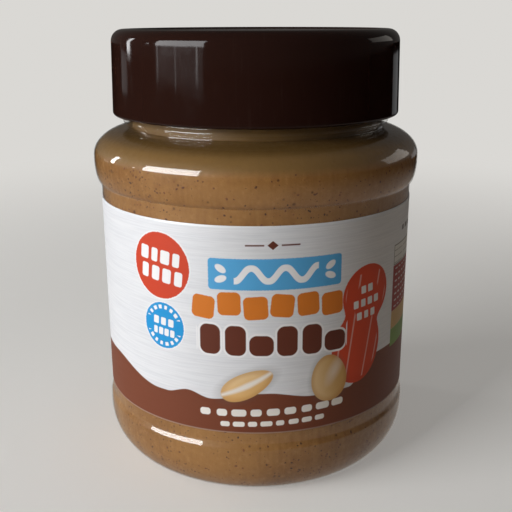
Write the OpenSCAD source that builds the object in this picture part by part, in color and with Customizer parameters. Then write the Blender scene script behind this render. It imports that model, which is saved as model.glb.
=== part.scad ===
// Clear blow-moulded spread jar with a straight label panel between two
// rolls, filled up to the neck and closed by a tall smooth screw lid.
// Millimetres, +Z up, origin at the centre of the foot the jar stands on.

/* [Jar body] */
// Outside diameter of the straight panel that carries the label
panel_d = 71.2; // [60:0.1:110]
// Height of the straight panel between the two rolls
panel_h = 50.3; // [40:0.1:110]
// Wall of the blown body
wall = 0.8; // [0.5:0.1:1.2]

/* [Foot and low roll] */
// How far the heel curves in from the low roll to the foot
heel_in = 8.3; // [5:0.1:12]
// Height of the curved heel
heel_h = 10.4; // [6:0.1:16]
// Height of the straight stretch of the low roll
low_roll_h = 2.1; // [1:0.1:8]
// How far the low roll stands out past the panel
low_roll_out = 0.6; // [0.3:0.1:2.5]
// Height of the soft step from the low roll to the panel
low_step_h = 1.8; // [1:0.1:5]
// Width of the flat ring the jar stands on
foot_w = 3.3; // [2:0.1:6]
// Rise of the domed base inside the foot ring
push_up = 3; // [1.5:0.1:6]

/* [Shoulder roll] */
// How far the shoulder roll stands out past the panel
shoulder_out = 1.4; // [0.8:0.1:3]
// Height of the roll's rounded underside
under_h = 5.3; // [3:0.1:9]
// Height of the roll's straight stretch
roll_h = 0.9; // [0.5:0.1:6]
// Height of the rounded shoulder above the roll
shoulder_h = 6.1; // [4:0.1:14]

/* [Neck] */
// Outside diameter of the neck
neck_d = 58.4; // [50:0.1:66]
// Height of the neck above the shoulder
neck_h = 19.6; // [16:0.1:30]
// Wall of the neck, thicker than the body
neck_wall = 1.5; // [1:0.1:2.5]
// How far the bead below the lid stands out past the neck
bead_out = 0.9; // [0.4:0.1:1.4]
// Height of the bead
bead_h = 1.2; // [0.8:0.1:1.6]
// Height of the bead's lower edge above the shoulder
bead_rise = 0.7; // [0.4:0.1:1.5]

/* [Thread] */
// How far the thread ridges stand out past the neck
ridge_out = 1.1; // [0.6:0.1:1.2]
// Height of a thread ridge
ridge_h = 1.6; // [1:0.1:2]
// Number of separate thread ridges round the neck
ridge_count = 3; // [2:1:4]
// Slope of the thread ridges in degrees
ridge_slope = 2.5; // [1:0.1:4]
// Running gap between the neck's ridges and the lid's
ridge_gap = 0.25; // [0.15:0.05:0.6]

/* [Lid] */
// Gap between the neck's ridges and the inside of the lid
lid_gap = 0.5; // [0.3:0.1:1.5]
// Wall of the lid at its open edge
lid_wall = 1.5; // [1:0.1:2.5]
// Draft of the lid's side, taken off the radius at the top
lid_draft = 0.35; // [0:0.05:0.4]
// Thickness of the lid's flat top
lid_top_t = 1.3; // [1:0.1:2.5]
// Height of the lid's open edge above the shoulder
lid_lift = 2.6; // [2.4:0.1:4]
// Radius of the round between the lid's side and top
lid_round = 2.6; // [1:0.1:2.8]
// Radius of the round inside the lid, below that edge
lid_inner_round = 1.2; // [0.4:0.1:1.3]
// Radius of the round along the lid's open edge
lip_round = 0.7; // [0.3:0.05:0.9]
// Height of the rim line round the lid's flat top
rim_h = 0.3; // [0.1:0.05:0.6]
// Width of that rim line
rim_w = 1; // [0.5:0.1:2]

/* [Label] */
// Gap between the low step and the label's lower edge
label_rise = 2.3; // [0.5:0.1:8]
// Gap between the label's upper edge and the shoulder roll
label_drop = 3.1; // [0.5:0.1:8]
// Thickness of the label film
film_t = 0.12; // [0.08:0.01:0.3]
// Length of the glued overlap at the back
seam_w = 6; // [3:0.5:12]

/* [Filling] */
// Free height between the filling and the jar's rim
head_h = 9; // [5:0.5:14]

/* [Hidden] */
$fn = 96;

// Slack between the filling and the wall, and under the label film
fit_gap = 0.02;
// Points along each rounded stretch of a section
steps = 10;
// Bevel on the outer edge of the jar's rim
rim_soft = 0.4;
// How far in past the neck the shoulder's curve is centred, as a share of
// the distance from the roll to the neck
shoulder_reach = 1.25;

panel_r = panel_d / 2;
low_roll_r = panel_r + low_roll_out;
roll_r = panel_r + shoulder_out;
foot_r = low_roll_r - heel_in;
neck_r = neck_d / 2;
ridge_r = neck_r + ridge_out;
lid_in_r = ridge_r + lid_gap;
lid_r = lid_in_r + lid_wall;

// Heights, each stacked on the one below
step_z = heel_h + low_roll_h;
panel_z = step_z + low_step_h;
under_z = panel_z + panel_h;
roll_z = under_z + under_h;
shoulder_z = roll_z + roll_h;
neck_z = shoulder_z + shoulder_h;
rim_z = neck_z + neck_h;
lid_z = neck_z + lid_lift;
lid_top_z = rim_z + lid_top_t;
fill_z = rim_z - head_h;
label_h = panel_h - label_rise - label_drop;
// Ridge centres: the neck's, and the lid's just below them
neck_ridge_z = (lid_z + rim_z) / 2 + ridge_h / 2;
lid_ridge_z = neck_ridge_z - ridge_h - ridge_gap;

// Points of an elliptic arc about (cx, cz) from angle a0 to a1
function arc(cx, cz, rx, rz, a0, a1) =
    [for (i = [0 : steps]) let (a = a0 + (a1 - a0) * i / steps)
        [cx + rx * cos(a), cz + rz * sin(a)]];

// Points of a soft step from (r0, z0) to (r1, z1), level at neither end
function soft_step(r0, z0, r1, z1) =
    [for (i = [0 : steps]) let (t = i / steps)
        [r0 + (r1 - r0) * (1 - cos(180 * t)) / 2, z0 + (z1 - z0) * t]];

// Domed base from the axis out to the foot ring, lifted by t
function base_points(t) =
    [for (i = [0 : steps]) let (r = (foot_r - foot_w) * i / steps)
        [r, t + push_up * pow(cos(90 * i / steps), 1.3)]];

// Section of the body from the axis to the top of the shoulder, a
// distance t inside the outer skin, ending where it meets radius r_end
function body_points(t, r_end) =
    let (sx = roll_r - (roll_r - neck_r) * shoulder_reach,
         a_end = acos((r_end - sx) / (roll_r - t - sx)))
    concat(
        base_points(t),
        arc(foot_r, heel_h, heel_in - t, heel_h - t, -90, 0),
        soft_step(low_roll_r - t, step_z, panel_r - t, panel_z),
        arc(panel_r - t, roll_z, shoulder_out, under_h - t, -90, 0),
        arc(sx, shoulder_z, roll_r - t - sx, shoulder_h - t, 0, a_end));
module turned(points) {
    rotate_extrude() polygon(points);
}

// One set of thread ridges: planar ring stretches, each tilted so that
// it climbs as it goes round. The section runs from r_root, sunk in its
// wall, to r_tip.
module ridges(r_root, r_tip, z) {
    half = ridge_h / 2;
    soft = ridge_h / 4;
    lean = r_tip > r_root ? soft : -soft;
    span = 300 / ridge_count;
    for (k = [0 : ridge_count - 1])
        rotate([0, 0, k * 360 / ridge_count])
            translate([0, 0, z])
                rotate([ridge_slope, 0, 0])
                    rotate([0, 0, -span / 2])
                        rotate_extrude(angle = span)
                            polygon([[r_root, -half], [r_tip - lean, -half],
                                     [r_tip, -soft], [r_tip, soft],
                                     [r_tip - lean, half], [r_root, half]]);
}

module jar_shell() {
    neck_in_r = neck_r - neck_wall;
    bead_z = neck_z + bead_rise;
    bead_soft = bead_h / 4;
    neck_outside = [
        [neck_r, bead_z], [neck_r + bead_out - bead_soft, bead_z],
        [neck_r + bead_out, bead_z + bead_soft],
        [neck_r + bead_out, bead_z + bead_h - bead_soft],
        [neck_r + bead_out - bead_soft, bead_z + bead_h],
        [neck_r, bead_z + bead_h], [neck_r, rim_z - rim_soft],
        [neck_r - rim_soft, rim_z], [neck_in_r, rim_z]];
    inside = body_points(wall, neck_in_r);
    turned(concat(body_points(0, neck_r), neck_outside,
                  [for (i = [len(inside) - 1 : -1 : 0]) inside[i]]));
}
module jar() {
    color([0.86, 0.88, 0.84, 0.35]) union() {
        jar_shell();
        ridges(neck_r - neck_wall / 3, ridge_r, neck_ridge_z);
    }
}

module lid_shell() {
    top_r = lid_r - lid_draft;
    flat_r = top_r - lid_round;
    panel_top_z = lid_top_z - rim_h;
    turned(concat(
        [[0, rim_z]],
        arc(lid_in_r - lid_inner_round, rim_z - lid_inner_round,
            lid_inner_round, lid_inner_round, 90, 0),
        [[lid_in_r, lid_z]],
        arc(lid_r - lip_round, lid_z + lip_round, lip_round, lip_round, -90, 0),
        arc(flat_r, lid_top_z - lid_round, lid_round, lid_round, 0, 90),
        [[flat_r - rim_w, lid_top_z], [flat_r - rim_w - rim_h, panel_top_z],
         [0, panel_top_z]]));
}

module lid() {
    color([0.13, 0.07, 0.05]) union() {
        lid_shell();
        ridges(lid_in_r + lid_wall / 3, neck_r + lid_gap, lid_ridge_z);
    }
}

module label() {
    low_z = panel_z + label_rise;
    in_r = panel_r + fit_gap;
    seam_angle = seam_w / in_r * 180 / PI;
    color([0.82, 0.83, 0.84]) {
        translate([0, 0, low_z]) rotate_extrude()
            translate([in_r, 0]) square([film_t, label_h]);
        // The glued overlap lies a second film thick at the back
        translate([0, 0, low_z]) rotate([0, 0, 90]) rotate_extrude(angle = seam_angle)
            translate([in_r + film_t / 2, 0]) square([film_t * 1.5, label_h]);
    }
}

module peanut_butter() {
    slack = wall + fit_gap;
    neck_fill_r = neck_r - neck_wall - fit_gap;
    color([0.62, 0.42, 0.22])
        turned(concat(body_points(slack, neck_fill_r),
                      [[neck_fill_r, fill_z], [0, fill_z]]));
}

jar();
lid();
label();
peanut_butter();
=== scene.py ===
"""Filled spread jar with a screw lid and a printed sleeve: its looks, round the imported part."""

import math

import bpy
import numpy as np
from bpy.props import (
    FloatProperty,
    FloatVectorProperty,
    IntProperty,
    PointerProperty,
)
from bpy.types import Operator, Panel, PropertyGroup
from mathutils import Matrix, Vector


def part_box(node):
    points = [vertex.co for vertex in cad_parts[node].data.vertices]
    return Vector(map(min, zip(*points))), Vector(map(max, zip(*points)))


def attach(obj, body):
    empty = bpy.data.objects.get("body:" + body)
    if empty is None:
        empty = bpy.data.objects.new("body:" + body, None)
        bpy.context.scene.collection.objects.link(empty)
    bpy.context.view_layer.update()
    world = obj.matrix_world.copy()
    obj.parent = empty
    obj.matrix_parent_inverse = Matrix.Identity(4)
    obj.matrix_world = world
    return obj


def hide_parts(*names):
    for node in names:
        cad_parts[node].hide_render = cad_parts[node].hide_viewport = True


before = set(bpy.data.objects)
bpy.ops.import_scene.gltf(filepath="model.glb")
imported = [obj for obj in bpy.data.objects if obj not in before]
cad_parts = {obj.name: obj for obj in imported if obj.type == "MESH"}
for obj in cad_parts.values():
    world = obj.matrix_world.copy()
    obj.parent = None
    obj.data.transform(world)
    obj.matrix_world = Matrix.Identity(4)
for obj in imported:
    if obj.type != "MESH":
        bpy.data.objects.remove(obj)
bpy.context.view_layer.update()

bl_info = {
    "name": "Filled Spread Jar",
    "version": (1, 0, 0),
    "blender": (4, 5, 0),
    "location": "3D View > Sidebar > Jar",
    "description": "Builds a filled spread jar, its lid, its sleeve and a plain studio",
    "category": "Object",
}

MM = 0.001
CM2_IN_M2 = 1e4
TAU = 2 * math.pi
BODY = "root"
LABEL_LOW, LABEL_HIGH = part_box("label")
LID_LOW, LID_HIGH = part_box("lid")
FILL_LOW, FILL_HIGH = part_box("peanut_butter")


def mm(value):
    """A length in metres from millimetres."""
    return value * MM


def length(name, text, default_mm, low=0.01, high=200.0):
    """A length property whose default is given in millimetres."""
    return FloatProperty(
        name=name, description=text, default=mm(default_mm), min=mm(low), max=mm(high),
        unit="LENGTH", subtype="DISTANCE", precision=5,
    )


def number(name, text, default, low=0.0, high=100.0):
    return FloatProperty(name=name, description=text, default=default, min=low, max=high)


def srgb(red, green, blue):
    """Linear colour from the 0-255 values a paint chart gives."""
    parts = (red / 255, green / 255, blue / 255)
    return tuple(c / 12.92 if c <= 0.04045 else ((c + 0.055) / 1.055) ** 2.4 for c in parts)


def colour(name, text, red, green, blue):
    return FloatVectorProperty(
        name=name, description=text, subtype="COLOR", size=3, min=0.0, max=1.0,
        default=srgb(red, green, blue),
    )


# ---------------------------------------------------------------- settings


class JarSizes(PropertyGroup):
    """Sizes of the clear jar, as its construction has them."""

    panel_r: length("Panel radius", "Outside radius of the straight label panel", 35.6)
    wall: length("Wall", "Wall of the blown body", 0.8)
    heel_in: length("Heel depth", "How far the heel curves in to the foot", 8.3)
    heel_h: length("Heel height", "Height of the curved heel", 10.4)
    low_roll_h: length("Low roll", "Straight height of the low roll", 2.1)
    low_roll_out: length("Low roll reach", "How far the low roll stands out", 0.6)
    low_step_h: length("Low step", "Height of the step up to the panel", 1.8)
    foot_w: length("Foot width", "Width of the ring the jar stands on", 3.3)
    push_up: length("Push-up", "Rise of the domed base", 3.0)
    panel_h: length("Panel height", "Height of the straight panel", 50.3)
    shoulder_out: length("Shoulder reach", "How far the shoulder roll stands out", 1.4)
    under_h: length("Roll underside", "Height of the roll's rounded underside", 5.3)
    roll_h: length("Roll height", "Straight height of the roll", 0.9)
    shoulder_h: length("Shoulder height", "Height of the rounded shoulder", 6.1)
    shoulder_reach: number("Shoulder centre", "Where the shoulder curve is centred", 1.25)
    neck_r: length("Neck radius", "Outside radius of the neck", 29.2)
    neck_h: length("Neck height", "Height of the neck above the shoulder", 19.6)
    neck_wall: length("Neck wall", "Wall of the neck", 1.5)
    bead_out: length("Bead reach", "How far the bead under the lid stands out", 0.9)
    bead_h: length("Bead height", "Height of that bead", 1.2)
    bead_rise: length("Bead rise", "Height of the bead above the shoulder", 0.7)
    steps_around: IntProperty(
        name="Steps around", description="Faces round each turned piece", default=208,
        min=48, max=512,
    )


class ThreadSizes(PropertyGroup):
    """The short thread ridges on the neck and inside the lid."""

    out: length("Ridge reach", "How far a ridge stands out", 1.1)
    height: length("Ridge height", "Height of a ridge", 1.6)
    gap: length("Running gap", "Gap between the neck's and the lid's ridges", 0.25)
    count: IntProperty(name="Ridges", description="Ridges round the neck", default=3, min=2)
    slope: number("Ridge slope", "Climb of a ridge in degrees", 2.5)
    span: number("Ridge span", "Length of a ridge in degrees", 100.0, 10.0, 170.0)


class LidSizes(PropertyGroup):
    """Sizes of the screw lid."""

    wall: length("Lid wall", "Wall of the lid at its open edge", 1.5)
    draft: length("Draft", "Taper of the lid's side", 0.35)
    round_r: length("Top round", "Radius between the side and the top", 2.6)
    inner_round: length("Inner round", "Radius inside the lid, below that edge", 1.2)
    lip_r: length("Lip round", "Radius along the open edge", 0.7)
    top_t: length("Top", "Thickness of the flat top", 1.3)
    rim_h: length("Rim line", "Height of the rim line on the top", 0.3)
    rim_w: length("Rim line width", "Width of that line", 1.0)
    plastic: colour("Lid plastic", "Colour of the lid", 40, 22, 17)


class SleeveSizes(PropertyGroup):
    """Sizes and inks of the wrapped sleeve."""

    film: length("Film", "Thickness of the label film", 0.12)
    seam: length("Seam", "Length of the glued overlap at the back", 6.0)
    film_white: colour("Film", "Bare pearly film", 229, 231, 235)
    cocoa: colour("Cocoa ink", "The wavy field along the bottom", 117, 63, 42)
    red: colour("Red ink", "The larger round spot", 202, 65, 36)
    pod: colour("Pod ink", "The printed pod", 218, 78, 46)
    blue: colour("Blue ink", "The small round spot", 30, 148, 212)
    sky: colour("Sky ink", "The banner", 86, 167, 219)
    amber: colour("Amber ink", "The bouncing blocks", 212, 120, 40)
    bark: colour("Bark ink", "The dark blocks", 98, 48, 33)
    tan: colour("Tan ink", "The side panel's tan block", 196, 160, 104)
    green: colour("Green ink", "The side panel's green block", 118, 150, 70)


class FillingLooks(PropertyGroup):
    """The peanut butter and the flecks of skin in it."""

    reach: length("Reach", "How far the filling reaches into the wall", 0.62)
    butter: colour("Peanut butter", "Main colour of the filling", 157, 112, 60)
    butter_dark: colour("Roasted tone", "Darker tone of the filling", 139, 95, 47)
    # Painted shade: a darker tone laid on the filling above the roll
    shoulder_shade: colour("Painted shoulder shade", "Painted shade on the filling above the roll", 127, 96, 50)
    skin: colour("Skin flecks", "Colour of the flecks", 78, 42, 22)
    fleck_r: length("Fleck size", "Radius of a middling fleck", 0.17)
    fleck_density: number("Flecks", "Flecks on each square centimetre", 74.0, 0.0, 200.0)
    swirl: length("Swirl", "Depth of the swirl on the filled surface", 0.5)
    seed: IntProperty(name="Seed", description="Seed of the scatter", default=11)


# Upright soft panels: name, power in watts, azimuth and facing in degrees from the camera's
# side, distance, heights of the low and the high edge, width, tint
COOL, WARM = (0.97, 0.985, 1.0), (1.0, 0.94, 0.86)
LAMPS = (
    ("window", 20.4, -63.0, -38.0, 1.24, 0.112, 0.680, 1.04, COOL),
    ("sill", 0.16, -63.0, -38.0, 1.24, 0.036, 0.111, 1.00, COOL),
    ("pane_left", 0.018, -79.0, -60.0, 1.20, 0.040, 0.110, 0.014, COOL),
    ("pane_middle", 0.012, -62.0, -60.0, 1.16, 0.034, 0.110, 0.010, COOL),
    ("pane_right", 0.026, -44.0, -40.0, 1.12, 0.050, 0.110, 0.024, COOL),
    ("vent", 0.05, -88.9, -88.9, 1.20, 0.150, 0.190, 0.032, COOL),
    ("side_pane", 1.5, -113.5, -113.5, 1.20, 0.072, 0.530, 0.097, COOL),
    ("side_sill", 0.020, -122.0, -122.0, 1.20, 0.002, 0.070, 0.200, COOL),
    ("far_window", 0.17, 115.0, 115.0, 0.60, 0.125, 0.335, 0.36, WARM),
    ("far_sill", 0.010, 142.0, 142.0, 0.60, 0.002, 0.075, 0.170, COOL),
)


class StageLooks(PropertyGroup):
    """The floor, the lights and the camera."""

    floor: colour("Floor", "The pale floor", 226, 224, 220)
    air: number("Room light", "Strength of the even light", 0.08, 0.0, 5.0)
    lens: number("Lens", "Focal length in millimetres", 55.3, 10.0, 300.0)
    distance: length("Distance", "Camera's distance from the jar's axis", 182.7, 50, 2000)
    height: length("Height", "Camera's height above the floor", 100.1, 0, 2000)
    azimuth: FloatProperty(
        name="Azimuth", description="Camera's turn round the jar", subtype="ANGLE",
        default=math.radians(-4.7),
    )
    pitch: FloatProperty(
        name="Pitch", description="How far the camera looks down", subtype="ANGLE",
        default=math.radians(16.87),
    )
    roll: FloatProperty(
        name="Roll", description="Tilt of the camera", subtype="ANGLE",
        default=math.radians(-0.15),
    )


class SpreadJar(PropertyGroup):
    """Everything a user would change."""

    jar: PointerProperty(type=JarSizes)
    thread: PointerProperty(type=ThreadSizes)
    lid: PointerProperty(type=LidSizes)
    sleeve: PointerProperty(type=SleeveSizes)
    filling: PointerProperty(type=FillingLooks)
    stage: PointerProperty(type=StageLooks)


# ---------------------------------------------------------------- node graphs


def operator_pair(operation):
    """The plain and the reflected form of an operator that adds one Math node."""

    def plain(self, other):
        return self.graph.math(operation, self, other)

    def reflected(self, other):
        return self.graph.math(operation, other, self)

    return plain, reflected


class Val:
    """One number socket. Arithmetic on it adds Math nodes to its graph."""

    __add__, __radd__ = operator_pair("ADD")
    __sub__, __rsub__ = operator_pair("SUBTRACT")
    __mul__, __rmul__ = operator_pair("MULTIPLY")
    __truediv__, __rtruediv__ = operator_pair("DIVIDE")
    __pow__, __rpow__ = operator_pair("POWER")

    def __init__(self, graph, socket):
        self.graph, self.socket = graph, socket

    def __neg__(self):
        return self * -1

    def __abs__(self):
        return self.graph.math("ABSOLUTE", self)

    def unit(self):
        """Held between 0 and 1."""
        return self.graph.math("ADD", self, 0.0, clamp=True)


class Graph:
    """Adds nodes to one node tree."""

    def __init__(self, tree):
        self.tree = tree

    def add(self, kind, settings=None, values=None):
        """A node of one kind: its settings are set first, then its sockets get values or links."""
        node = self.tree.nodes.new(kind)
        for name, value in (settings or {}).items():
            setattr(node, name, value)
        for name, value in (values or {}).items():
            self.feed(node.inputs[name], value)
        return node

    def feed(self, socket, value):
        if isinstance(value, Val):
            value = value.socket
        if isinstance(value, bpy.types.NodeSocket):
            self.tree.links.new(value, socket)
        elif getattr(socket, "type", "") == "RGBA" and len(value) == 3:
            socket.default_value = (*value, 1.0)
        else:
            socket.default_value = value

    def math(self, operation, *parts, clamp=False):
        node = self.add("ShaderNodeMath", {"operation": operation, "use_clamp": clamp},
                        dict(enumerate(parts)))
        return Val(self, node.outputs[0])

    def out(self, node, name=0):
        return Val(self, node.outputs[name])

    def xyz(self, vector):
        node = self.add("ShaderNodeSeparateXYZ", None, {0: vector})
        return [self.out(node, i) for i in range(3)]

    def vector(self, x, y, z):
        return self.add("ShaderNodeCombineXYZ", None, {0: x, 1: y, 2: z}).outputs[0]

    def mix(self, share, first, second, blend="MIX"):
        """Colour that goes from first to second as share goes from 0 to 1."""
        node = self.add("ShaderNodeMix", {"data_type": "RGBA", "blend_type": blend})
        self.feed(node.inputs[0], share)
        self.feed(node.inputs[6], first)
        self.feed(node.inputs[7], second)
        return node.outputs[2]

    def noise(self, vector, scale, detail=2.0, roughness=0.5, distortion=0.0):
        node = self.add("ShaderNodeTexNoise", None, {
            "Vector": vector, "Scale": scale, "Detail": detail, "Roughness": roughness,
            "Distortion": distortion,
        })
        return self.out(node, "Fac" if "Fac" in node.outputs else 0)

    def smooth(self, value, low, high, to_low=0.0, to_high=1.0):
        """Smooth step of a value from low to high."""
        node = self.add("ShaderNodeMapRange", {"interpolation_type": "SMOOTHSTEP"}, {
            "Value": value, "From Min": low, "From Max": high, "To Min": to_low,
            "To Max": to_high,
        })
        return self.out(node)

    def least(self, first, second):
        return self.math("MINIMUM", first, second)

    def most(self, first, *others):
        for other in others:
            first = self.math("MAXIMUM", first, other)
        return first

    def hypot(self, x, y):
        return self.math("SQRT", x * x + y * y)

    def turn(self, x, y):
        """Angle round the jar from its front."""
        return self.math("ARCTAN2", x, -y)

    def bump(self, strength, distance, height):
        return self.add("ShaderNodeBump", None, {
            "Strength": strength, "Distance": distance, "Height": height,
        }).outputs[0]

    def mix_shader(self, share, first, second):
        """Shader that goes from first to second as share goes from 0 to 1."""
        return self.add("ShaderNodeMixShader", None,
                        {0: share, 1: first.outputs[0], 2: second.outputs[0]})


def new_material(name):
    """A fresh node material: its graph and its output node."""
    material = bpy.data.materials.new(name)
    material.use_nodes = True
    material.node_tree.nodes.clear()
    graph = Graph(material.node_tree)
    return material, graph, graph.add("ShaderNodeOutputMaterial")


def principled(graph, output, values):
    shader = graph.add("ShaderNodeBsdfPrincipled", None, values)
    graph.feed(output.inputs["Surface"], shader.outputs[0])


def object_position(graph):
    return graph.add("ShaderNodeTexCoord").outputs["Object"]


def new_tree(name, whole, floats):
    """A geometry tree with named inputs: the tree, its graph, its inputs and its end node."""
    tree = bpy.data.node_groups.new(name, "GeometryNodeTree")
    tree.interface.new_socket(name="Geometry", in_out="OUTPUT",
                              socket_type="NodeSocketGeometry")
    kinds = {"Geometry": "Geometry", whole: "Int", **dict.fromkeys(floats, "Float"),
             "Material": "Material"}
    for label, kind in kinds.items():
        tree.interface.new_socket(name=label, in_out="INPUT", socket_type="NodeSocket" + kind)
    g = Graph(tree)
    return tree, g, g.add("NodeGroupInput").outputs, g.add("NodeGroupOutput")


def set_material(g, geometry, given, done):
    """The last node of a tree."""
    painted = g.add("GeometryNodeSetMaterial", None,
                    {0: geometry, "Material": given["Material"]})
    g.feed(done.inputs[0], painted.outputs[0])


# ---------------------------------------------------------------- turned pieces


def turned_tree():
    """Node tree that turns a section about Z and raises the thread ridges on it.

    The section is a chain of points with the radius in x and the height in z. Its points
    carry three shares: of the thread ridge, of the parting line and of the filling's swirl.
    """
    fade_turn = 0.12
    crown_share = 0.62
    parting_half_turn = 0.02
    swirl_pitch = mm(1.1)
    weld = mm(0.001)
    tree, g, given, done = new_tree("Turned Section", "Steps Around", (
        "Ridge Reach", "Ridge Height", "Ridge Centre", "Ridge Count", "Ridge Slope",
        "Ridge Span", "Ridge Radius", "Parting Reach", "Parting Turn", "Swirl Depth"))

    def size(name):
        return Val(g, given[name])

    section = given["Geometry"]
    count = g.out(g.add("GeometryNodeAttributeDomainSize", {"component": "MESH"},
                        {"Geometry": section}), "Point Count")
    grid = g.add("GeometryNodeMeshGrid", None, {
        "Size X": 1.0, "Size Y": 1.0, "Vertices X": size("Steps Around") + 1,
        "Vertices Y": count,
    })
    index = g.out(g.add("GeometryNodeInputIndex"))
    turn_step = g.math("FLOOR", (index + 0.5) / count)
    along = index - turn_step * count

    def sampled(value, data_type):
        return g.add("GeometryNodeSampleIndex", {"data_type": data_type}, {
            "Geometry": section, "Value": value, "Index": along,
        }).outputs[0]

    def share(name):
        named = g.add("GeometryNodeInputNamedAttribute", {"data_type": "FLOAT"}, {"Name": name})
        return Val(g, sampled(named.outputs["Attribute"], "FLOAT"))

    place = sampled(g.add("GeometryNodeInputPosition").outputs[0], "FLOAT_VECTOR")
    radius, _, height = g.xyz(place)
    angle = turn_step / size("Steps Around") * TAU

    # A ridge climbs as it goes round, and fades out at both ends
    pitch = TAU / size("Ridge Count")
    ridge_turn = g.math("WRAP", angle, pitch * 0.5, pitch * -0.5)
    climb = g.math("SINE", ridge_turn) * size("Ridge Radius")
    centre = size("Ridge Centre") + climb * g.math("SINE", size("Ridge Slope"))
    across = abs(height - centre) / (size("Ridge Height") * 0.5)
    ends = (size("Ridge Span") * 0.5 - abs(ridge_turn)) / fade_turn
    ridge = g.smooth(1 - across, 0.0, crown_share) * g.smooth(ends, 0.0, 1.0)
    parting = abs(g.math("WRAP", angle - size("Parting Turn"), math.pi / 2, -math.pi / 2))
    line = g.smooth(1 - parting / parting_half_turn, 0.0, 1.0)
    swirl = g.math("SINE", radius / swirl_pitch - angle) * share("swirl_share")
    radius = radius + ridge * size("Ridge Reach") * share("ridge_share")
    radius = radius + line * size("Parting Reach") * share("parting_share")
    height = height + swirl * size("Swirl Depth")
    spot = g.vector(g.math("COSINE", angle) * radius, g.math("SINE", angle) * radius, height)
    moved = g.add("GeometryNodeSetPosition", None,
                  {"Geometry": grid.outputs["Mesh"], "Position": spot})
    closed = g.add("GeometryNodeMergeByDistance", None,
                   {"Geometry": moved.outputs[0], "Distance": weld})
    smooth = g.add("GeometryNodeSetShadeSmooth", None, {0: closed.outputs[0]})
    real = g.add("GeometryNodeRealizeInstances", None, {0: smooth.outputs[0]})
    set_material(g, real.outputs[0], given, done)
    return tree


def fleck_tree():
    """Node tree that scatters small flat flecks over a surface and keeps only the flecks."""
    fade_h = mm(3)
    thickness = mm(0.05)
    jag = mm(0.07)
    tree, g, given, done = new_tree("Scattered Flecks", "Seed",
                                    ("Density", "Fleck Radius", "Top"))

    def chance(seed):
        """A number from 0 to 1 for each fleck."""
        node = g.add("FunctionNodeRandomValue", {"data_type": "FLOAT"}, {"Seed": seed})
        return g.out(node, 1)

    place = g.add("GeometryNodeInputPosition").outputs[0]
    top = Val(g, given["Top"])
    patches = g.smooth(g.noise(place, 110.0, 2.0), 0.36, 0.66, 0.12, 1.0)
    patches = patches * g.smooth(g.xyz(place)[2], top, top - fade_h)
    points = g.add("GeometryNodeDistributePointsOnFaces", {"distribute_method": "RANDOM"}, {
        "Mesh": given["Geometry"], "Density": Val(g, given["Density"]) * patches,
        "Seed": given["Seed"],
    })
    ball = g.add("GeometryNodeMeshIcoSphere", None, {"Radius": 1.0, "Subdivisions": 1})
    # Many small flecks and few large ones, each longer one way than the other
    size = (chance(5) ** 2.2 * 1.15 + 0.38) * Val(g, given["Fleck Radius"])
    stretch = chance(9) * 0.9 + 0.75
    spin = g.add("FunctionNodeEulerToRotation", None, {0: g.vector(0.0, 0.0, chance(21) * TAU)})
    turned = g.add("FunctionNodeRotateRotation", {"rotation_space": "LOCAL"},
                   {0: points.outputs["Rotation"], 1: spin.outputs[0]})
    placed = g.add("GeometryNodeInstanceOnPoints", None, {
        "Points": points.outputs["Points"], "Instance": ball.outputs["Mesh"],
        "Rotation": turned.outputs[0], "Scale": g.vector(size * stretch, size, thickness),
    })
    real = g.add("GeometryNodeRealizeInstances", None, {0: placed.outputs[0]})
    grain = g.add("ShaderNodeTexNoise", None, {"Vector": place, "Scale": 4200.0})
    push = g.add("ShaderNodeVectorMath", {"operation": "MULTIPLY_ADD"}, {
        0: grain.outputs["Color"], 1: (jag * 2,) * 3, 2: (-jag,) * 3,
    })
    rough = g.add("GeometryNodeSetPosition", None,
                  {"Geometry": real.outputs[0], "Offset": push.outputs[0]})
    set_material(g, rough.outputs[0], given, done)
    return tree


def run_tree(piece, tree, values):
    """Runs a node tree on a piece and leaves its result as a plain mesh."""
    modifier = piece.modifiers.new("Make", "NODES")
    modifier.node_group = tree
    for item in tree.interface.items_tree:
        if item.in_out == "INPUT" and item.name in values:
            modifier[item.identifier] = values[item.name]
    view = bpy.context.evaluated_depsgraph_get()
    made = bpy.data.meshes.new_from_object(piece.evaluated_get(view), depsgraph=view)
    old = piece.data
    piece.modifiers.remove(modifier)
    piece.data = made
    bpy.data.meshes.remove(old)
    made.name = piece.name
    if not made.polygons:
        raise RuntimeError(f"{piece.name} came out empty")
    return piece


def add_piece(name, vertices, edges=(), faces=()):
    mesh = bpy.data.meshes.new(name)
    mesh.from_pydata([tuple(map(float, v)) for v in vertices], list(edges), list(faces))
    piece = bpy.data.objects.new(name, mesh)
    bpy.context.scene.collection.objects.link(piece)
    return piece


def turn_section(name, points, material, shares=None, sizes=None):
    """Turns a section, given as (radius, height) points, into a closed piece."""
    points = np.asarray(points)
    vertices = np.c_[points[:, 0], np.zeros(len(points)), points[:, 1]]
    piece = add_piece(name, vertices, edges=[(i, i + 1) for i in range(len(points) - 1)])
    for share in ("ridge_share", "parting_share", "swirl_share"):
        values = (shares or {}).get(share, np.zeros(len(points)))
        piece.data.attributes.new(share, "FLOAT", "POINT").data.foreach_set(
            "value", np.asarray(values, dtype=np.float32))
    settings = {
        "Steps Around": bpy.context.scene.spread_jar.jar.steps_around, "Ridge Reach": 0.0,
        "Ridge Height": mm(1.0), "Ridge Centre": 0.0, "Ridge Count": 3.0, "Ridge Slope": 0.0,
        "Ridge Span": 1.0, "Ridge Radius": 0.0, "Parting Reach": 0.0, "Parting Turn": 0.0,
        "Swirl Depth": 0.0, "Material": material,
    }
    settings.update(sizes or {})
    tree = bpy.data.node_groups.get("Turned Section") or turned_tree()
    return run_tree(piece, tree, settings)


# ---------------------------------------------------------------- sections


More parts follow.
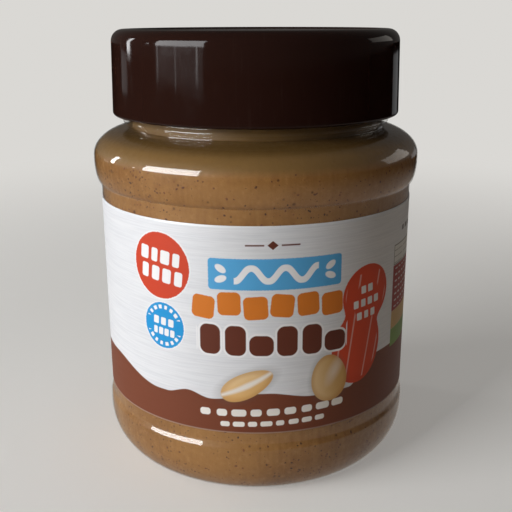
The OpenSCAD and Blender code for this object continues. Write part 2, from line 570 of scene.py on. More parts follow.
def arc(cx, cz, rx, rz, start, end, steps=24):
    """Points of an elliptic arc, in degrees."""
    a = np.radians(np.linspace(start, end, steps))
    return np.c_[cx + rx * np.cos(a), cz + rz * np.sin(a)]


def soft_step(r0, z0, r1, z1, steps=16):
    """Points of a soft step that starts and ends upright."""
    t = np.linspace(0, 1, steps)
    return np.c_[r0 + (r1 - r0) * (1 - np.cos(math.pi * t)) / 2, z0 + (z1 - z0) * t]


def heights(jar):
    """The jar's levels, each stacked on the one below."""
    step = jar.heel_h + jar.low_roll_h
    panel = step + jar.low_step_h
    roll = panel + jar.panel_h + jar.under_h
    shoulder = roll + jar.roll_h
    neck = shoulder + jar.shoulder_h
    return {"step": step, "panel": panel, "roll": roll, "shoulder": shoulder, "neck": neck,
            "rim": neck + jar.neck_h}


def body_points(jar, inset, end_r):
    """Section from the axis to the top of the shoulder, a distance inside the outer skin."""
    z = heights(jar)
    low_r = jar.panel_r + jar.low_roll_out
    roll_r = jar.panel_r + jar.shoulder_out
    foot_r = low_r - jar.heel_in
    dome_power = 1.3
    t = np.linspace(0, 1, 24)
    base = np.c_[(foot_r - jar.foot_w) * t,
                 inset + jar.push_up * np.cos(t * math.pi / 2).clip(0) ** dome_power]
    centre = roll_r - (roll_r - jar.neck_r) * jar.shoulder_reach
    stop = math.degrees(math.acos((end_r - centre) / (roll_r - inset - centre)))
    return np.vstack([
        base,
        arc(foot_r, jar.heel_h, jar.heel_in - inset, jar.heel_h - inset, -90, 0),
        soft_step(low_r - inset, z["step"], jar.panel_r - inset, z["panel"]),
        arc(jar.panel_r - inset, z["roll"], jar.shoulder_out, jar.under_h - inset, -90, 0),
        arc(centre, z["shoulder"], roll_r - inset - centre, jar.shoulder_h - inset, 0, stop),
    ])


def faired(points, blur, spacing=mm(0.12)):
    """A section walked at an even pace, its corners rounded by about the blur.

    It starts and ends on the axis, so its ends are mirrored there before it is blurred.
    """
    points = np.asarray(points)
    gaps = np.hypot(*np.diff(points, axis=0).T)
    keep = np.r_[True, gaps > 1e-9]
    points = points[keep]
    walked = np.r_[0, np.cumsum(np.hypot(*np.diff(points, axis=0).T))]
    even = np.linspace(0, walked[-1], int(walked[-1] / spacing) + 2)
    line = np.c_[np.interp(even, walked, points[:, 0]), np.interp(even, walked, points[:, 1])]
    reach = int(3 * blur / spacing) + 1
    weights = np.exp(-0.5 * (np.arange(-reach, reach + 1) * spacing / blur) ** 2)
    weights /= weights.sum()
    flip = np.array([-1.0, 1.0])
    padded = np.vstack([line[reach:0:-1] * flip, line, line[-2:-reach - 2:-1] * flip])
    soft = np.c_[np.convolve(padded[:, 0], weights, "valid"),
                 np.convolve(padded[:, 1], weights, "valid")]
    soft[0, 0] = soft[-1, 0] = 0.0
    return soft


def thinned(points, bend=3.0, longest=mm(5), fine=None, fine_step=mm(0.24)):
    """Fewer points where a section runs straight; an even fine step in the fine heights."""
    kept = [0]
    heading = None
    for i in range(1, len(points) - 1):
        step = points[i + 1] - points[i]
        angle = math.degrees(math.atan2(step[1], step[0]))
        if heading is None:
            heading = angle
        turned = abs((angle - heading + 180) % 360 - 180)
        gone = np.hypot(*(points[i] - points[kept[-1]]))
        limit = longest
        if fine and fine[0] < points[i][1] < fine[1]:
            limit = fine_step
        if turned > bend or gone > limit:
            kept.append(i)
            heading = angle
    return points[kept + [len(points) - 1]]


# ---------------------------------------------------------------- finishes


def clear_plastic():
    """Clear blown plastic: what is behind it shows, under the gloss of its outer skin."""
    refraction = 1.58
    material, g, output = new_material("clear_plastic")
    place = object_position(g)
    ripple = g.noise(place, 38.0, 2.0)
    fine = g.noise(place, 420.0, 2.0)
    bump = g.bump(0.12, mm(1.2), ripple + fine * 0.02)
    gloss = g.add("ShaderNodeBsdfPrincipled", None, {
        "Base Color": (1.0, 1.0, 1.0, 1.0), "Metallic": 1.0,
        "Roughness": g.smooth(fine, 0.35, 0.75, 0.035, 0.075), "Normal": bump,
    })
    clear = g.add("ShaderNodeBsdfTransparent", None, {"Color": (0.985, 0.985, 0.975, 1.0)})
    fresnel = g.out(g.add("ShaderNodeFresnel", None, {"IOR": refraction, "Normal": bump}))
    inner = g.out(g.add("ShaderNodeNewGeometry"), "Backfacing")
    skin = g.mix_shader((fresnel * (1 - inner)).unit(), clear, gloss)
    g.feed(output.inputs["Surface"], skin.outputs[0])
    return material


def lid_plastic(lid):
    """Smooth glossy moulded plastic with faint handling marks."""
    material, g, output = new_material("lid_plastic")
    place = object_position(g)
    x, y, z = g.xyz(place)
    # Upright rubs on the side, arcs on the top
    rubs = g.noise(g.vector(g.turn(x, y) * 38, z * 90, g.hypot(x, y) * 260), 1.0, 4.0, 0.62)
    scuffs = g.noise(place, 260.0, 5.0, 0.7, 0.6)
    marks = g.smooth(rubs, 0.56, 0.74) * g.smooth(g.noise(place, 42.0, 2.0), 0.4, 0.7)
    shade = g.mix(g.noise(place, 30.0, 2.0) * 0.35, lid.plastic, srgb(30, 15, 12))
    shade = g.mix(marks * 0.05, shade, srgb(120, 100, 92))
    principled(g, output, {
        "Base Color": shade,
        "Roughness": g.smooth(scuffs, 0.3, 0.8, 0.05, 0.11) + marks * 0.14,
        "Specular IOR Level": 0.2,
        "Normal": g.bump(0.06, mm(0.4), g.noise(place, 75.0, 2.0) + scuffs * 0.03),
    })
    return material


def fine_grains(g, place, tone, skin):
    """Grains of skin too small to be pieces of their own."""
    for scale, size, share, shift in ((900.0, 0.20, 0.13, 3.1), (480.0, 0.15, 0.12, 8.7)):
        moved = g.add("ShaderNodeVectorMath", {"operation": "ADD"}, {0: place, 1: (shift,) * 3})
        cells = g.add("ShaderNodeTexVoronoi", {"feature": "F1"},
                      {"Vector": moved.outputs[0], "Scale": scale})
        chance, depth, _ = g.xyz(cells.outputs["Color"])
        near = g.smooth(g.out(cells, "Distance") / (depth * 0.6 + 0.5), size * 0.5, size * 1.7)
        chosen = g.math("LESS_THAN", chance, share)
        tone = g.mix((1 - near) * chosen * (depth * 0.5 + 0.35), tone, skin)
    return tone


def butter_finish(filling):
    """Smooth ground peanut butter: mottled, with fine dark grains of skin in it."""
    material, g, output = new_material("peanut_butter")
    place = object_position(g)
    x, y, z = g.xyz(place)
    cloud = g.noise(place, 55.0, 3.0, 0.55, 0.4)
    # Faint upright drags where the filling slid up the wall
    drags = g.noise(g.vector(g.turn(x, y) * 34, z * 60, 2.0), 1.0, 3.0)
    grain = g.noise(place, 900.0, 3.0, 0.6)
    tone = g.mix(g.smooth(cloud + (drags - 0.5) * 0.5, 0.34, 0.72),
                 filling.butter, filling.butter_dark)
    tone = g.mix(g.smooth(grain, 0.5, 0.8) * 0.22, tone, srgb(120, 74, 38))
    tone = g.mix(g.smooth(grain, 0.5, 0.2) * 0.20, tone, srgb(206, 158, 104))
    tone = fine_grains(g, place, tone, filling.skin)
    # Painted shade: the filling is darker above the roll, where little light falls from above, and
    # darkest at the foot of the neck and on the neck, in the lid's shadow
    level = heights(bpy.context.scene.spread_jar.jar)
    shoulder_shade = g.smooth(z + (cloud - 0.5) * mm(1.5), level["shoulder"], level["shoulder"] + mm(2))
    tone = g.mix(shoulder_shade * 0.9, tone, filling.shoulder_shade)
    # Painted shadow of the lid: a dark brown laid at the foot of the neck and on the neck
    foot = g.smooth(abs(z - level["neck"] + mm(0.6)), mm(2.2), mm(0.6)) * 0.45
    neck = g.smooth(z, level["neck"] - mm(0.6), level["neck"] + mm(0.4)) * 0.4
    tone = g.mix(g.most(foot, neck), tone, srgb(60, 42, 18))
    principled(g, output, {
        "Base Color": tone, "Roughness": g.smooth(grain, 0.2, 0.8, 0.42, 0.6),
        "Specular IOR Level": 0.35, "Coat Weight": 0.12, "Coat Roughness": 0.12,
        "Normal": g.bump(0.25, mm(0.3), grain + cloud * 0.6),
    })
    return material


def fleck_finish(filling):
    material, g, output = new_material("skin_fleck")
    spread = g.noise(object_position(g), 300.0, 2.0)
    tone = g.mix(g.smooth(spread, 0.35, 0.7), filling.skin, srgb(128, 76, 42))
    principled(g, output, {"Base Color": tone, "Roughness": spread * 0.2 + 0.5})
    return material


# ---------------------------------------------------------------- print

PALE = srgb(238, 238, 240)


class Print:
    """Draws simple shapes on the sleeve, in millimetres from its front centre and foot."""

    def __init__(self, graph, along, up, base, inks):
        self.g, self.s, self.t, self.tone, self.inks = graph, along, up, base, inks
        self.ink = None
        # A small uneven offset, as a hand-cut edge has
        self.rough = (graph.noise(graph.vector(along, up, 0.0), 2.2, 1.0) - 0.5) * 0.22

    def local(self, s, t, tilt=0.0):
        """Coordinates about a point, turned by a tilt in degrees."""
        x, y = self.s - s, self.t - t
        if not tilt:
            return x, y
        c, n = math.cos(math.radians(tilt)), math.sin(math.radians(tilt))
        return x * c + y * n, y * c - x * n

    def disc(self, x, y, r):
        return self.g.hypot(x, y) - r

    def oval(self, x, y, rx, ry):
        return (self.g.hypot(x / rx, y / ry) - 1) * min(rx, ry)

    def block(self, x, y, half_w, half_h, corner):
        g = self.g
        dx, dy = abs(x) - (half_w - corner), abs(y) - (half_h - corner)
        outside = g.hypot(g.most(dx, 0.0), g.most(dy, 0.0))
        return outside + g.least(g.most(dx, dy), 0.0) - corner

    def blocks(self, x, y, count, pitch, half_w, half_h, corner, bounce=0.0, vary=0.3, seed=0.0,
               lean=0.0):
        """A centred row of blocks of uneven width, that may bounce up and down and lean."""
        g = self.g
        step = x / pitch + count / 2
        cell = g.math("FLOOR", step)
        inside = g.least(cell + 0.5, count - cell - 0.5)
        across = (step - cell - 0.5) * pitch
        draw = g.math("FRACT", g.math("SINE", cell * 12.9898 + seed) * 437.585)
        up = y - g.math("SINE", cell * 2.6 + seed) * bounce
        if lean:
            slant = g.math("SINE", cell * 4.1 + seed) * lean
            across, up = across + up * slant, up - across * slant
        shape = self.block(across, up, (1 - draw * vary) * half_w, half_h, corner)
        return g.most(shape, -inside)

    def cover(self, distance, soft=0.07):
        """Share of ink from a distance to a shape's edge."""
        return (0.5 - distance / (2 * soft)).unit()

    def lay(self, distance, colour, share=1.0, soft=0.07):
        """Prints a shape over what is there."""
        cover = self.cover(distance, soft)
        if share != 1.0:
            cover = cover * share
        self.tone = self.g.mix(cover, self.tone, colour)
        self.ink = cover if self.ink is None else self.g.most(self.ink, cover)
        return cover

    def spot(self, s, t, r, rim, colour):
        """Prints a disc with a pale rim; gives the coordinates about its centre."""
        x, y = self.local(s, t)
        self.lay(self.disc(x, y, r + rim) + self.rough, PALE)
        self.lay(self.disc(x, y, r) + self.rough, colour)
        return x, y

    def row(self, s, t, tilt, *sizes, colour=PALE, share=1.0, **looks):
        """Prints a row of blocks about a point."""
        self.lay(self.blocks(*self.local(s, t, tilt), *sizes, **looks), colour, share)


def brushed_film(g, sleeve, s, t):
    """The bare film: a pearly white with fine level streaks."""
    streaks = g.noise(g.vector(s * 0.09, t * 2.9, 0.0), 1.0, 4.0, 0.62)
    broad = g.noise(g.vector(s * 0.05, t * 0.7, 4.0), 1.0, 2.0)
    tone = g.mix(g.smooth(streaks, 0.36, 0.66) * 0.30, sleeve.film_white, srgb(196, 198, 204))
    return g.mix(g.smooth(broad, 0.4, 0.7) * 0.22, tone, srgb(240, 240, 242)), streaks


def cocoa_edge(g, s):
    """Height of the wavy field's upper edge round the jar."""
    level, sway, sway_rate = 7.7, 0.25, 0.045
    edge = g.math("SINE", s * sway_rate) * sway + level
    # centre, half width, soft shoulder and height of each rise
    for centre, half, soft, rise in ((-44.0, 19.0, 16.0, 3.7), (-17.8, 5.2, 5.2, 1.3),
                                     (-1.5, 11.0, 10.0, 1.5), (34.0, 16.0, 6.5, 5.6),
                                     (62.0, 10.0, 9.0, 2.2), (92.0, 14.0, 12.0, 3.6),
                                     (-92.0, 16.0, 13.0, 2.6)):
        edge = edge + g.smooth(half - abs(s - centre), 0.0, soft) * rise
    return edge


def print_field(p):
    """The cocoa field along the bottom."""
    slope_share = 0.94
    p.lay((p.t - cocoa_edge(p.g, p.s)) * slope_share, p.inks.cocoa)


def print_mark(p):
    """A small ornament near the top: a rhomb between two fine rules."""
    x, y = p.local(0.4, 41.0)
    p.lay(abs(x) + abs(y) * 1.2 - 1.1, p.inks.bark)
    p.lay(p.block(abs(x) - 3.6, y, 1.9, 0.16, 0.15), p.inks.bark)


def print_spots(p):
    """Two round spots with rows of plain blocks, the small one with ticks round them."""
    p.spot(-23.7, 35.2, 7.05, 0.3, p.inks.red)
    p.row(-23.7, 37.2, -6.0, 4, 2.7, 1.15, 1.45, 0.45, vary=0.35, seed=1.0)
    p.row(-23.5, 33.3, -6.0, 4, 2.85, 1.2, 1.55, 0.5, seed=4.0)
    ring_r, tick_pitch, ticks = 4.1, 1.43, 18
    x, y = p.spot(-23.3, 22.2, 5.05, 0.25, p.inks.blue)
    tick = p.blocks(p.g.math("ARCTAN2", x, y) * ring_r, p.g.hypot(x, y) - ring_r, ticks,
                    tick_pitch, 0.46, 0.42, 0.15, seed=2.0)
    p.lay(p.g.most(tick, 1.6 - abs(y)), PALE)
    p.row(-23.3, 23.1, -4.0, 3, 1.9, 0.8, 0.85, 0.3, seed=7.0)
    p.row(-23.3, 20.8, -4.0, 4, 1.45, 0.62, 0.8, 0.28, seed=3.0)


def print_banner(p):
    """A banner with a smooth wave and a pair of drops at each end."""
    g = p.g
    s, t = 1.25, 35.0
    wave_rate, wave_rise, wave_half_t, wave_reach = 0.92, 1.35, 0.66, 8.6
    x, y = p.local(s, t)
    p.lay(p.block(x, y, 13.85, 3.25, 0.7) + p.rough * 0.8, p.inks.sky)
    swell = g.math("SINE", x * wave_rate) * wave_rise
    slope = g.math("COSINE", x * wave_rate) * (wave_rate * wave_rise)
    ribbon = abs(y - swell) * (slope * slope + 1) ** -0.5 - wave_half_t
    p.lay(g.most(ribbon, abs(x) - wave_reach), PALE)
    for side in (-1.0, 1.0):
        for tilt, lift in ((35.0, 1.15), (-20.0, -1.0)):
            dx, dy = p.local(s + side * 11.3, t + lift, tilt * side)
            p.lay(p.oval(dx, dy, 1.25, 0.72), PALE)


def print_pod(p):
    """A pod of two soft lobes, with pale strokes down it and rows of blocks on it."""
    g = p.g
    pod_t, stroke_top, stroke_foot = 28.0, 32.6, 8.0
    x, y = p.local(22.6, pod_t)
    upper = p.oval(x, y, 6.85, 6.5)
    lower = p.oval(*p.local(20.2, 16.6, -4.0), 6.9, 8.2)
    pod = g.math("SMOOTH_MIN", upper, lower, 3.2)
    cover = p.lay(pod + p.rough * 0.6, p.inks.pod)
    p.tone = g.mix(cover * (g.smooth(pod, -2.6, 0.0) * 0.16), p.tone, srgb(150, 38, 24))
    bow = (x + (pod_t - p.t) * 0.18) / (1.0 + p.t * 0.012)
    stroke = abs(g.math("PINGPONG", abs(bow) + 0.35, 1.25)) - 0.16
    within = g.most(p.t - stroke_top, stroke_foot - p.t, pod + 0.7)
    beside_rows = 1.0 - g.hypot(x / 4.2, (p.t - 26.6) / 4.4)
    p.lay(g.most(stroke, within, beside_rows), srgb(232, 190, 178), 0.75)
    for t, count in ((29.2, 2), (26.3, 4), (23.5, 3)):
        p.row(22.4, t, 3.0, count, 2.05, 0.78, 0.85, 0.25, seed=t)


def print_rows(p):
    """Amber blocks that bounce, then dark ones of two heights with a pale edge."""
    g = p.g
    x, y = p.local(-0.3, 28.3)
    amber = p.blocks(x, y + x * 0.005, 6, 5.4, 2.5, 2.45, 1.1, bounce=0.5, vary=0.1, seed=5.0,
                     lean=0.11)
    p.lay(amber + p.rough * 0.5, p.inks.amber)
    count, pitch, corner = 6, 5.3, 1.6
    x, y = p.local(0.8, 19.8)
    y = y + x * 0.018
    step = x / pitch + count / 2
    cell = g.math("FLOOR", step)
    tall = g.math("LESS_THAN", g.math("MODULO", cell * 2 + 1, 3.0), 1.6)
    bark = p.block((step - cell - 0.5) * pitch, y - tall * 0.95, 2.5 - tall * 0.35,
                   tall * 1.05 + 2.2, corner)
    bark = g.most(bark, abs(x) - (count * pitch / 2 - 0.1))
    p.lay(bark - 0.45, PALE)
    p.lay(bark, p.inks.bark)


def print_kernels(p):
    """Two kernels, shaded as round: the first split by a crease, the second with a gleam."""
    g = p.g
    white = srgb(236, 232, 226)
    for s, t, tilt, rx, ry, tan, split in (
            (-4.9, 11.0, 27.0, 5.9, 2.75, srgb(220, 176, 113), True),
            (12.9, 11.2, 98.0, 5.3, 4.2, srgb(206, 162, 100), False)):
        x, y = p.local(s, t, tilt)
        shape = p.oval(x, y * (1 + x * 0.02), rx, ry)
        p.lay(shape - 0.5, srgb(96, 84, 78), 0.28, soft=0.6)
        cover = p.lay(shape, tan)
        lit = g.smooth(y + g.noise(g.vector(x, y, 3.0), 0.9, 2.0), -ry * 0.6, ry * 1.2)
        p.tone = g.mix(cover * lit * 0.6, p.tone, srgb(238, 212, 168))
        p.tone = g.mix(cover * g.smooth(shape, -1.2, 0.0) * 0.45, p.tone, srgb(184, 128, 66))
        if split:
            crease = abs(y - x * x * 0.012 + 0.1) - (0.6 - abs(x) * 0.05)
            shine = p.cover(crease, 0.3) * 0.9
        else:
            gleam = p.oval(*p.local(s + 1.2, t + 1.6, 60.0), 2.6, 1.1)
            shine = p.cover(gleam, 0.8) * 0.5
        p.tone = g.mix(cover * shine, p.tone, white)


def print_bars(p):
    """Two rows of small pale bars on the cocoa field."""
    for t, half_h, count, pitch, seed in ((4.9, 0.8, 9, 3.6, 2.0), (2.3, 0.58, 8, 2.9, 6.0)):
        x, y = p.local(0.6, t)
        bars = p.blocks(x, y - x * 0.025, count, pitch, pitch * 0.46, half_h, half_h * 0.8,
                        vary=0.35, seed=seed)
        p.lay(bars, srgb(236, 232, 226))


def fine_lines(p, x, y, gap, count, pitch, half_w, half_h, area, **looks):
    """Lines of fine short bars, one above the other, inside an area."""
    lines = p.blocks(x, p.g.math("PINGPONG", y + 24.0, gap), count, pitch, half_w, half_h, 0.05,
                     vary=0.6, **looks)
    return p.g.most(lines, area)


def print_sides(p):
    """The side panels: a ruled table and plain fields of colour, and fine grey lines."""
    g = p.g
    ink, paper = srgb(70, 66, 64), srgb(222, 222, 220)
    right, half_w = 48.0, 15.4
    p.row(right, 39.4, 0.0, 9, 2.6, 1.1, 0.55, 0.1, colour=ink, share=0.8, vary=0.5, seed=3.0)
    x, y = p.local(right, 34.0)
    table = p.block(x, y, half_w, 2.4, 0.2)
    p.lay(table, paper)
    p.lay(abs(table + 0.2) - 0.09, ink)
    rules = abs(g.math("PINGPONG", y + 20.0, 0.7)) - 0.07
    columns = abs(g.math("PINGPONG", x + 30, 3.4) - 1.9) - 1.4
    p.lay(g.most(rules, table + 0.3, columns), ink, 0.75)
    for low, high, tone in ((21.0, 31.6, srgb(150, 42, 36)), (16.8, 21.0, p.inks.tan),
                            (12.6, 16.8, p.inks.green)):
        x, y = p.local(right, (low + high) / 2)
        p.lay(p.block(x, y, half_w, (high - low) / 2, 0.1), tone)
    x, y = p.local(right, 26.3)
    p.lay(fine_lines(p, x, y, 0.75, 14, 2.1, 0.9, 0.2, p.block(x, y, 14.2, 4.6, 0.1), seed=9.0),
          paper, 0.8)
    x, y = p.local(-74.0, 26.5)
    p.lay(fine_lines(p, x, y, 0.7, 22, 1.7, 0.74, 0.17, p.block(x, y, 17.0, 11.5, 0.1), seed=5.0),
          ink, 0.8)
    p.lay(abs(p.block(x, y, 18.4, 13.0, 1.0)) - 0.1, srgb(120, 84, 60))


def sleeve_finish(sleeve):
    """Pearly film with its print."""
    material, g, output = new_material("label_film")
    x, y, z = g.xyz(object_position(g))
    front_r = (LABEL_HIGH.x - LABEL_LOW.x) / 2 / MM
    s = g.turn(x, y) * front_r
    t = (z - LABEL_LOW.z) * (1 / MM)
    film, streaks = brushed_film(g, sleeve, s, t)
    p = Print(g, s, t, film, sleeve)
    for draw in (print_field, print_mark, print_spots, print_banner, print_pod, print_rows,
                 print_kernels, print_bars, print_sides):
        draw(p)
    cut_edge = 0.3
    p.lay(p.t - cut_edge, srgb(190, 168, 156), 0.5)
    ripple = g.noise(g.vector(s * 0.05, t * 0.03, 9.0), 1.0, 3.0)
    principled(g, output, {
        "Base Color": p.tone, "Metallic": (1 - p.ink) * 0.12,
        "Roughness": streaks * 0.14 + 0.42, "Specular IOR Level": 0.3,
        "Normal": g.bump(0.16, mm(0.5), ripple * 1.4 + streaks * 0.045),
    })
    return material


# ---------------------------------------------------------------- operators


def ridge_values(thread, reach, centre, radius):
    """What the turned section's tree needs for the thread ridges."""
    return {
        "Ridge Reach": reach, "Ridge Height": thread.height, "Ridge Centre": centre,
        "Ridge Count": float(thread.count), "Ridge Slope": math.radians(thread.slope),
        "Ridge Span": math.radians(thread.span), "Ridge Radius": radius,
    }


class JarOperator:
    """What every builder here shares."""

    bl_options = {"REGISTER", "UNDO"}

    @property
    def sizes(self):
        return bpy.context.scene.spread_jar


class JAR_OT_wall(JarOperator, Operator):
    """Build the clear jar"""

    bl_idname = "spread_jar.wall"
    bl_label = "Clear Jar"

    def execute(self, context):
        jar, thread = self.sizes.jar, self.sizes.thread
        z = heights(jar)
        bead_z = z["neck"] + jar.bead_rise
        bead_half = jar.bead_h / 2
        inside_r = jar.neck_r - jar.neck_wall
        soft = mm(0.4)
        outline = np.vstack([
            body_points(jar, 0, jar.neck_r),
            [[jar.neck_r, bead_z]],
            arc(jar.neck_r + jar.bead_out - bead_half, bead_z + bead_half, bead_half, bead_half,
                -90, 90, 16),
            [[jar.neck_r, bead_z + jar.bead_h]],
            arc(jar.neck_r - soft, z["rim"] - soft, soft, soft, 0, 90, 8),
            arc(inside_r + soft, z["rim"] - soft, soft, soft, 90, 180, 8),
            body_points(jar, jar.wall, inside_r)[::-1],
        ])
        thread_low = LID_LOW.z - mm(0.4)
        section = thinned(faired(outline, mm(0.16)), fine=(thread_low, z["rim"] - mm(1)),
                          fine_step=mm(0.3))
        outer = section[:, 0] > jar.neck_r - mm(0.3)
        on_neck = outer & (section[:, 1] > thread_low) & (section[:, 1] < z["rim"] - mm(0.6))
        skin = np.arange(len(section)) < np.argmax(section[:, 1] > z["rim"] - mm(0.2))
        # The parting line of the blown jar stands a little off the front
        parting_turn = math.radians(14 - 90)
        piece = turn_section(
            "jar_wall", section, clear_plastic(),
            {"ridge_share": on_neck.astype(float), "parting_share": (outer & skin).astype(float)},
            {**ridge_values(thread, thread.out, (LID_LOW.z + z["rim"] + thread.height) / 2,
                            jar.neck_r + thread.out),
             "Parting Reach": mm(0.05), "Parting Turn": parting_turn},
        )
        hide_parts("jar")
        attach(piece, BODY)
        return {"FINISHED"}


class JAR_OT_filling(JarOperator, Operator):
    """Build the peanut butter and the flecks of skin in it"""

    bl_idname = "spread_jar.filling"
    bl_label = "Peanut Butter"

    def execute(self, context):
        jar, filling = self.sizes.jar, self.sizes.filling
        inset = jar.wall - filling.reach
        into_neck_wall, calm_middle, calm_edge = mm(0.3), mm(4), mm(1)
        neck_fill_r = jar.neck_r - jar.neck_wall + into_neck_wall
        outline = np.vstack([
            body_points(jar, inset, neck_fill_r),
            [[neck_fill_r, FILL_HIGH.z], [0, FILL_HIGH.z]],
        ])
        section = thinned(faired(outline, mm(0.2)), longest=mm(3))
        # The swirl lies on the flat top, fades out in the middle and stops short of the wall
        flat = section[:, 1] > FILL_HIGH.z - mm(0.02)
        flat &= section[:, 0] < neck_fill_r - calm_edge
        shares = np.where(flat, np.clip(section[:, 0] / calm_middle, 0, 1), 0.0)
        piece = turn_section("peanut_butter_fill", section, butter_finish(filling),
                             {"swirl_share": shares}, {"Swirl Depth": filling.swirl})
        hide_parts("peanut_butter")
        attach(piece, BODY)

        # Flecks only lie where they show: not behind the label, under the lid or underneath
        low, high = LABEL_LOW.z + mm(1), LABEL_HIGH.z - mm(1)
        downwards = -0.97
        carrier = piece.data
        seen = [p.vertices[:] for p in carrier.polygons
                if (p.center.z < low or p.center.z > high) and p.center.z < LID_LOW.z
                and p.normal.z > downwards]
        flecks = add_piece("skin_flecks", [v.co for v in carrier.vertices], faces=seen)
        run_tree(flecks, fleck_tree(), {
            "Density": filling.fleck_density * CM2_IN_M2, "Fleck Radius": filling.fleck_r,
            "Top": heights(jar)["shoulder"] + mm(2), "Seed": filling.seed,
            "Material": fleck_finish(filling),
        })
        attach(flecks, BODY)
        return {"FINISHED"}


class JAR_OT_lid(JarOperator, Operator):
    """Build the screw lid"""

    bl_idname = "spread_jar.lid"
    bl_label = "Screw Lid"

    def execute(self, context):
        jar, thread, lid = self.sizes.jar, self.sizes.thread, self.sizes.lid
        outer_r = (LID_HIGH.x - LID_LOW.x) / 2
        inner_r = outer_r - lid.wall
        rim_z = LID_HIGH.z - lid.top_t
        flat_r = outer_r - lid.draft - lid.round_r
        panel_z = LID_HIGH.z - lid.rim_h
        neck_play = mm(0.5)
        outline = np.vstack([
            [[0, rim_z]],
            arc(inner_r - lid.inner_round, rim_z - lid.inner_round, lid.inner_round,
                lid.inner_round, 90, 0),
            [[inner_r, LID_LOW.z]],
            arc(outer_r - lid.lip_r, LID_LOW.z + lid.lip_r, lid.lip_r, lid.lip_r, -90, 0),
            arc(flat_r, LID_HIGH.z - lid.round_r, lid.round_r, lid.round_r, 0, 90),
            [[flat_r - lid.rim_w, LID_HIGH.z], [flat_r - lid.rim_w - lid.rim_h, panel_z],
             [0, panel_z]],
        ])
        section = thinned(faired(outline, mm(0.1), mm(0.08)),
                          fine=(LID_LOW.z + mm(1), rim_z - mm(1)), fine_step=mm(0.35))
        inside = (np.abs(section[:, 0] - inner_r) < mm(0.2)) & (section[:, 1] < rim_z - mm(0.5))
        centre = (LID_LOW.z + rim_z - thread.height) / 2 - thread.gap
        piece = turn_section(
            "screw_lid", section, lid_plastic(lid), {"ridge_share": inside.astype(float)},
            ridge_values(thread, -(inner_r - jar.neck_r - neck_play), centre, inner_r),
        )
        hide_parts("lid")
        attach(piece, BODY)
        return {"FINISHED"}


class JAR_OT_sleeve(JarOperator, Operator):
    """Build the printed sleeve round the jar"""

    bl_idname = "spread_jar.sleeve"
    bl_label = "Printed Sleeve"

    def execute(self, context):
        sleeve = self.sizes.sleeve
        film = sleeve.film
        inner_r = (LABEL_HIGH.x - LABEL_LOW.x) / 2 - film
        low, high = LABEL_LOW.z, LABEL_HIGH.z
        edge = film * 0.3
        # The film starts and ends at the back, and lies double between these two turns
        start = math.pi / 2
        end = start + sleeve.seam / inner_r
        sliver, margin = 0.0005, 0.002
        around = [start, start + sliver, *np.linspace(start + margin, end - margin, 6),
                  end - sliver, *np.linspace(end, start + TAU, 220)[:-1]]
        rows = np.r_[low + edge, np.linspace(low + mm(0.6), high - mm(0.6), 14), high - edge]
        vertices, loops = [], []
        for angle in around:
            outer_r = inner_r + film * (2 if start < angle < end else 1)
            ring = [(inner_r, low), (outer_r - edge, low)]
            ring += [(outer_r, h) for h in rows]
            ring += [(outer_r - edge, high), (inner_r, high)]
            loops.append(len(vertices))
            vertices += [(r * math.cos(angle), r * math.sin(angle), h) for r, h in ring]
        size = len(ring)
        faces = []
        for k, first in enumerate(loops):
            second = loops[(k + 1) % len(loops)]
            for i in range(size):
                j = (i + 1) % size
                faces.append((first + i, second + i, second + j, first + j))
        piece = add_piece("label_sleeve", vertices, faces=faces)
        mesh = piece.data
        mesh.materials.append(sleeve_finish(sleeve))
        mesh.shade_smooth()
        mesh.set_sharp_from_angle(angle=math.radians(50))
        self.lay_out(mesh, low, high)
        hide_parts("label")
        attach(piece, BODY)
        return {"FINISHED"}

    def lay_out(self, mesh, low, high):
        """Flattens the sleeve: the outside in two long rows, the inside in a narrow strip."""
        uv = mesh.uv_layers.new(name="OFBake")
        margin, width = 0.01, 0.98
        row_h, second_row = 0.39, 0.41
        strip_v, strip_h, strip_gain = 0.82, 0.06, 0.08
        strip_r, strip_w = mm(35.5), mm(0.4)
        for face in mesh.polygons:
            centre = face.center
            middle = math.atan2(centre.x, -centre.y)
            outside = face.normal.dot(Vector((centre.x, centre.y, 0)).normalized()) > 0.3
            for corner in face.loop_indices:
                co = mesh.vertices[mesh.loops[corner].vertex_index].co
                turn = math.atan2(co.x, -co.y)
                if turn - middle > math.pi:
                    turn -= TAU
                elif middle - turn > math.pi:
                    turn += TAU
                up = (co.z - low) / (high - low)
                if not outside:
                    reach = (math.hypot(co.x, co.y) - strip_r) / strip_w
                    place = (turn / TAU + 0.5, strip_v + strip_h * up + strip_gain * reach)
                elif middle > 0:
                    place = (turn / math.pi, second_row + up * row_h)
                else:
                    place = (turn / math.pi + 1, margin + up * row_h)
                uv.data[corner].uv = (margin + width * place[0], place[1])


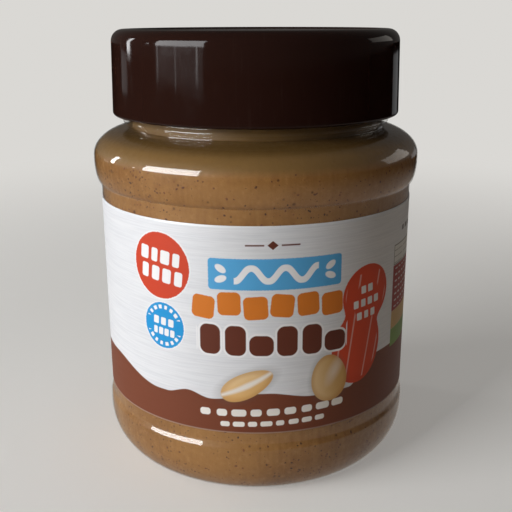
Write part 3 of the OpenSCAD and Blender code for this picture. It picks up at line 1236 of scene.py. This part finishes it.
class JAR_OT_stage(JarOperator, Operator):
    """Build the floor, the lights and the camera"""

    bl_idname = "spread_jar.stage"
    bl_label = "Studio"

    def execute(self, context):
        stage = self.sizes.stage
        scene = context.scene
        far = 6.0
        floor = add_piece("floor", [(-far, -far, 0), (far, -far, 0), (far, far, 0),
                                    (-far, far, 0)], faces=[(0, 1, 2, 3)])
        floor.data.materials.append(self.floor_finish(stage))
        scene.world = self.room(stage)
        for name, power, azimuth, facing, *rest in LAMPS:
            self.light(name, power, stage.azimuth + math.radians(azimuth),
                       stage.azimuth + math.radians(facing), *rest)
        self.camera(scene, stage)
        scene.view_settings.view_transform = "Standard"
        return {"FINISHED"}

    def floor_finish(self, stage):
        """Pale to the eye all the way back, but it throws only a little light on the jar."""
        near_r, far_r = 0.10, 0.42
        material, g, output = new_material("floor")
        x, y, _ = g.xyz(object_position(g))
        far = g.smooth(g.hypot(x, y), near_r, far_r)
        glow = g.add("ShaderNodeEmission", None,
                     {"Color": stage.floor, "Strength": far * 0.62 + 0.30})
        near = g.add("ShaderNodeBsdfDiffuse", None, {"Color": g.mix(far, stage.floor, (0, 0, 0))})
        seen = g.add("ShaderNodeAddShader", None, {0: near.outputs[0], 1: glow.outputs[0]})
        bounce = g.add("ShaderNodeBsdfDiffuse", None, {"Color": srgb(204, 188, 168)})
        # Painted reflection: near the jar the floor glows for glossy rays only, which lays bright
        # bands on the jar's lower rounds
        glossy_glow = g.add("ShaderNodeEmission", None,
                      {"Color": srgb(206, 198, 190), "Strength": (1 - far) * 0.5})
        path = g.add("ShaderNodeLightPath")
        thrown = g.mix_shader(path.outputs["Is Glossy Ray"], bounce, glossy_glow)
        both = g.mix_shader(path.outputs["Is Camera Ray"], thrown, seen)
        g.feed(output.inputs["Surface"], both.outputs[0])
        return material

    def room(self, stage):
        """Even weak light from the room, and the floor's own tone behind it."""
        world = bpy.data.worlds.new("studio")
        world.use_nodes = True
        world.node_tree.nodes.clear()
        g = Graph(world.node_tree)
        eye = g.out(g.add("ShaderNodeLightPath"), "Is Camera Ray")
        tone = g.mix(eye, (1.0, 0.94, 0.88), stage.floor)
        back = g.add("ShaderNodeBackground", None,
                     {"Color": tone, "Strength": eye * (0.92 - stage.air) + stage.air})
        g.add("ShaderNodeOutputWorld", None, {"Surface": back.outputs[0]})
        return world

    def light(self, name, power, azimuth, facing, distance, low, high, width, tint):
        """An upright soft panel between two heights, that faces along its own direction."""
        data = bpy.data.lights.new(name, "AREA")
        data.shape = "RECTANGLE"
        data.size, data.size_y = width, high - low
        data.energy = power
        data.color = tint
        lamp = bpy.data.objects.new(name, data)
        lamp.location = (math.sin(azimuth) * distance, -math.cos(azimuth) * distance,
                         (low + high) / 2)
        inward = Vector((-math.sin(facing), math.cos(facing), 0))
        lamp.rotation_euler = inward.to_track_quat("-Z", "Y").to_euler()
        bpy.context.scene.collection.objects.link(lamp)

    def camera(self, scene, stage):
        data = bpy.data.cameras.new("camera")
        sensor_width, nearest, farthest = 36.0, 0.01, 20.0
        data.lens, data.sensor_width = stage.lens, sensor_width
        data.clip_start, data.clip_end = nearest, farthest
        camera = bpy.data.objects.new("camera", data)
        a, down = stage.azimuth, stage.pitch
        camera.location = (math.sin(a) * stage.distance, -math.cos(a) * stage.distance,
                           stage.height)
        look = Vector((-math.sin(a) * math.cos(down), math.cos(a) * math.cos(down),
                       -math.sin(down)))
        turn = look.to_track_quat("-Z", "Y").to_matrix()
        camera.rotation_euler = (turn @ Matrix.Rotation(stage.roll, 3, "Z")).to_euler()
        scene.collection.objects.link(camera)
        scene.camera = camera


class JAR_PT_panel(Panel):
    """Lists the builders in the 3D view's sidebar"""

    bl_label = "Filled Spread Jar"
    bl_idname = "JAR_PT_panel"
    bl_space_type = "VIEW_3D"
    bl_region_type = "UI"
    bl_category = "Jar"

    def draw(self, context):
        for builder in BUILDERS:
            self.layout.operator(builder.bl_idname)


GROUPS = (JarSizes, ThreadSizes, LidSizes, SleeveSizes, FillingLooks, StageLooks, SpreadJar)
BUILDERS = (JAR_OT_wall, JAR_OT_filling, JAR_OT_lid, JAR_OT_sleeve, JAR_OT_stage)


def register():
    for item in (*GROUPS, *BUILDERS, JAR_PT_panel):
        bpy.utils.register_class(item)
    bpy.types.Scene.spread_jar = PointerProperty(type=SpreadJar)


def unregister():
    del bpy.types.Scene.spread_jar
    for item in reversed((*GROUPS, *BUILDERS, JAR_PT_panel)):
        bpy.utils.unregister_class(item)


def main():
    register()
    for build in (bpy.ops.spread_jar.wall, bpy.ops.spread_jar.filling, bpy.ops.spread_jar.lid,
                  bpy.ops.spread_jar.sleeve, bpy.ops.spread_jar.stage):
        build()


if __name__ == "__main__":
    main()
